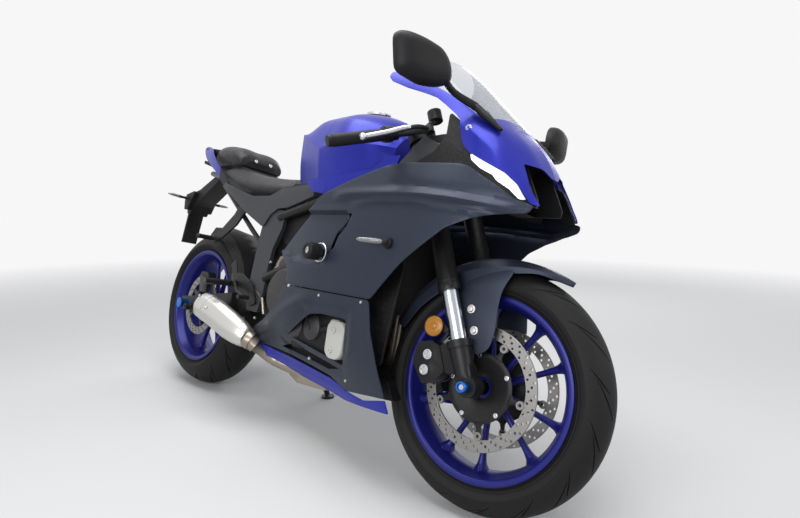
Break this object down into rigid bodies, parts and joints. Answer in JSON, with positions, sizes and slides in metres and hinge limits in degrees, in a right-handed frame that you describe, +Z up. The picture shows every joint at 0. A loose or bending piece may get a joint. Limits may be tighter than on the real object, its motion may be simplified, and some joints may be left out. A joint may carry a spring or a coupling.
{
  "type": "sport motorcycle on its side stand",
  "caption": "Middleweight fully faired sport motorcycle leaning on its side stand, with turning steering, wheels, stand and filler lid.",
  "frame": {"origin": "on the ground under the middle of the parked bike's box", "axes": "+X forward along the bike, +Y to the rider's left, +Z up"},
  "size_m": [2.0668, 0.78, 1.1446],
  "materials": {
    "paint_blue": "gloss metallic",
    "paint_blue_tail": "gloss metallic",
    "wheel_blue": "gloss",
    "fairing_dark": "satin dark blue-grey",
    "trim_grey": "matt",
    "black_plastic": "matt",
    "black_metal": "satin black",
    "engine_grey": "cast",
    "muffler_silver": "satin",
    "steel_pipe": "heat tinted",
    "chrome": "polished",
    "disc_steel": "ground",
    "sprocket_steel": "machined",
    "chain_steel": "oiled",
    "axle_metal": "blue anodised ends",
    "shock_spring": "satin",
    "rubber": "matt",
    "seat_vinyl": "grained vinyl",
    "lamp_clear": "clear",
    "lamp_red": "clear red",
    "amber": "clear amber",
    "screen": "light smoke",
    "bottle": "satin",
    "stand_black": "satin black",
    "lid_silver": "machined"
  },
  "bodies": {
    "chassis": {"main_frame": "black_metal", "centre_braces": "trim_grey", "subframe": "black_metal", "engine": "engine_grey", "chain": "chain_steel", "swingarm": "black_metal", "rear_axle": "axle_metal", "rear_shock": "shock_spring", "rear_caliper": "engine_grey", "radiator": "black_plastic", "exhaust_pipes": "steel_pipe", "muffler": "muffler_silver", "fuel_tank": "paint_blue", "tank_side_covers": "paint_blue", "rider_seat": "seat_vinyl", "pillion_seat": "seat_vinyl", "seat_side_covers": "trim_grey", "tail_cowl": "paint_blue_tail", "tail_lamp": "lamp_red", "plate_holder": "black_plastic", "side_fairings": "fairing_dark", "indicators": "amber", "lower_fairings": "fairing_dark", "belly_pan": "paint_blue", "front_cowl": "paint_blue", "front_lamps": "lamp_clear", "windscreen": "screen", "cockpit": "black_plastic", "mirrors": "black_plastic", "footrest_plates": "engine_grey", "coolant_reservoir": "bottle", "frame_sliders": "black_plastic", "hugger": "black_plastic"},
    "steering": {"fork_tubes": "black_metal", "fork_sliders": "chrome", "fork_feet": "black_metal", "triple_clamps": "black_metal", "handlebars": "black_metal", "hand_controls": "black_metal", "front_fender": "fairing_dark", "front_calipers": "black_metal", "front_axle": "axle_metal", "fork_reflectors": "amber"},
    "front_wheel": {"front_rim": "wheel_blue", "front_tyre": "rubber", "front_discs": "disc_steel"},
    "rear_wheel": {"rear_rim": "wheel_blue", "rear_tyre": "rubber", "rear_disc": "disc_steel", "rear_sprocket": "sprocket_steel"},
    "side_stand": {"side_stand": "stand_black"},
    "filler_lid": {"filler_lid": "lid_silver"}
  },
  "joints": [
    {"name": "steering_turn", "type": "hinge", "parent": "chassis", "child": "steering", "pos_m": [0.46776, -0.04245, 0.79561], "axis": [-0.4004, 0.2055, 0.893], "range_deg": [-33.14, 20.86]},
    {"name": "front_wheel_spin", "type": "hinge", "parent": "steering", "child": "front_wheel", "pos_m": [0.73462, -0.15429, 0.29151], "axis": [-0.098, 0.9593, -0.2647], "continuous": true},
    {"name": "rear_wheel_spin", "type": "hinge", "parent": "chassis", "child": "rear_wheel", "pos_m": [-0.66015, -0.15435, 0.3094], "axis": [0, 0.9745, -0.2243], "continuous": true},
    {"name": "stand_fold", "type": "hinge", "parent": "chassis", "child": "side_stand", "pos_m": [-0.19029, -0.03019, 0.19792], "axis": [0.2145, 0.9331, 0.2885], "range_deg": [0, 108.4]},
    {"name": "filler_lid_open", "type": "hinge", "parent": "chassis", "child": "filler_lid", "pos_m": [0.19909, 0.01129, 1.02915], "axis": [0, 0.9745, -0.2243], "range_deg": [0, 95]}
  ]
}
